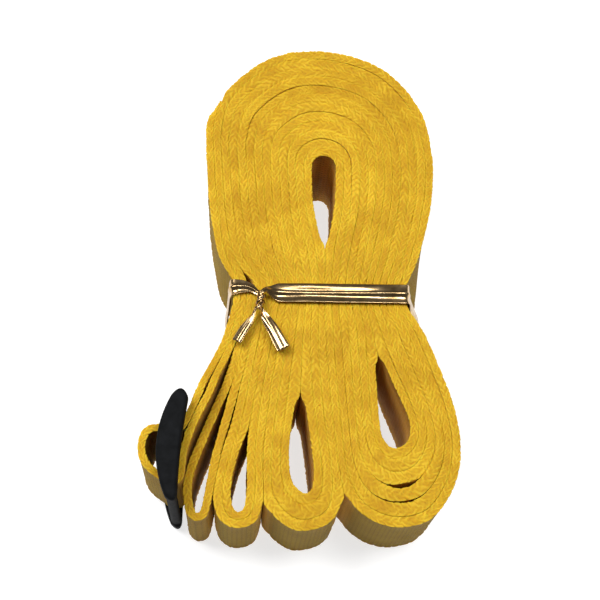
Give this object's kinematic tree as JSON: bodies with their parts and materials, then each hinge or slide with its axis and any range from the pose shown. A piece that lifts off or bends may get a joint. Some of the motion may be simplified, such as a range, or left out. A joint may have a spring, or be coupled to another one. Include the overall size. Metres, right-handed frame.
{
  "type": "webbing strap hank",
  "caption": "Flat webbing strap folded into a hank on its edges, with a moulded slide adjuster on its outer fold and a foil twist tie round its waist.",
  "frame": {"origin": "on the ground under the centre of the hank's bounding box", "axes": "+Z along the webbing's width, up from the selvedges it stands on; +Y from the lower folds to the crown; +X to the right when the slide adjuster is at the lower left"},
  "size_m": [0.0608, 0.0986, 0.0335],
  "materials": {
    "webbing": "woven, slightly glossy yarn",
    "black_plastic": "fine grained moulding",
    "gold_film": "metallised gold film, creased",
    "wire": "soft annealed wire"
  },
  "bodies": {
    "hank": {"webbing_strap": "webbing", "tie_outer_film": "gold_film", "tie_inner_film": "gold_film", "tie_wire": "wire"},
    "slide": {"slide_adjuster": "black_plastic"}
  },
  "joints": [
    {"name": "slide_tilt", "type": "hinge", "parent": "hank", "child": "slide", "pos_m": [-0.02542, -0.03561, 0.01675], "axis": [0, 0, 1], "range_deg": [-6, 6]}
  ]
}
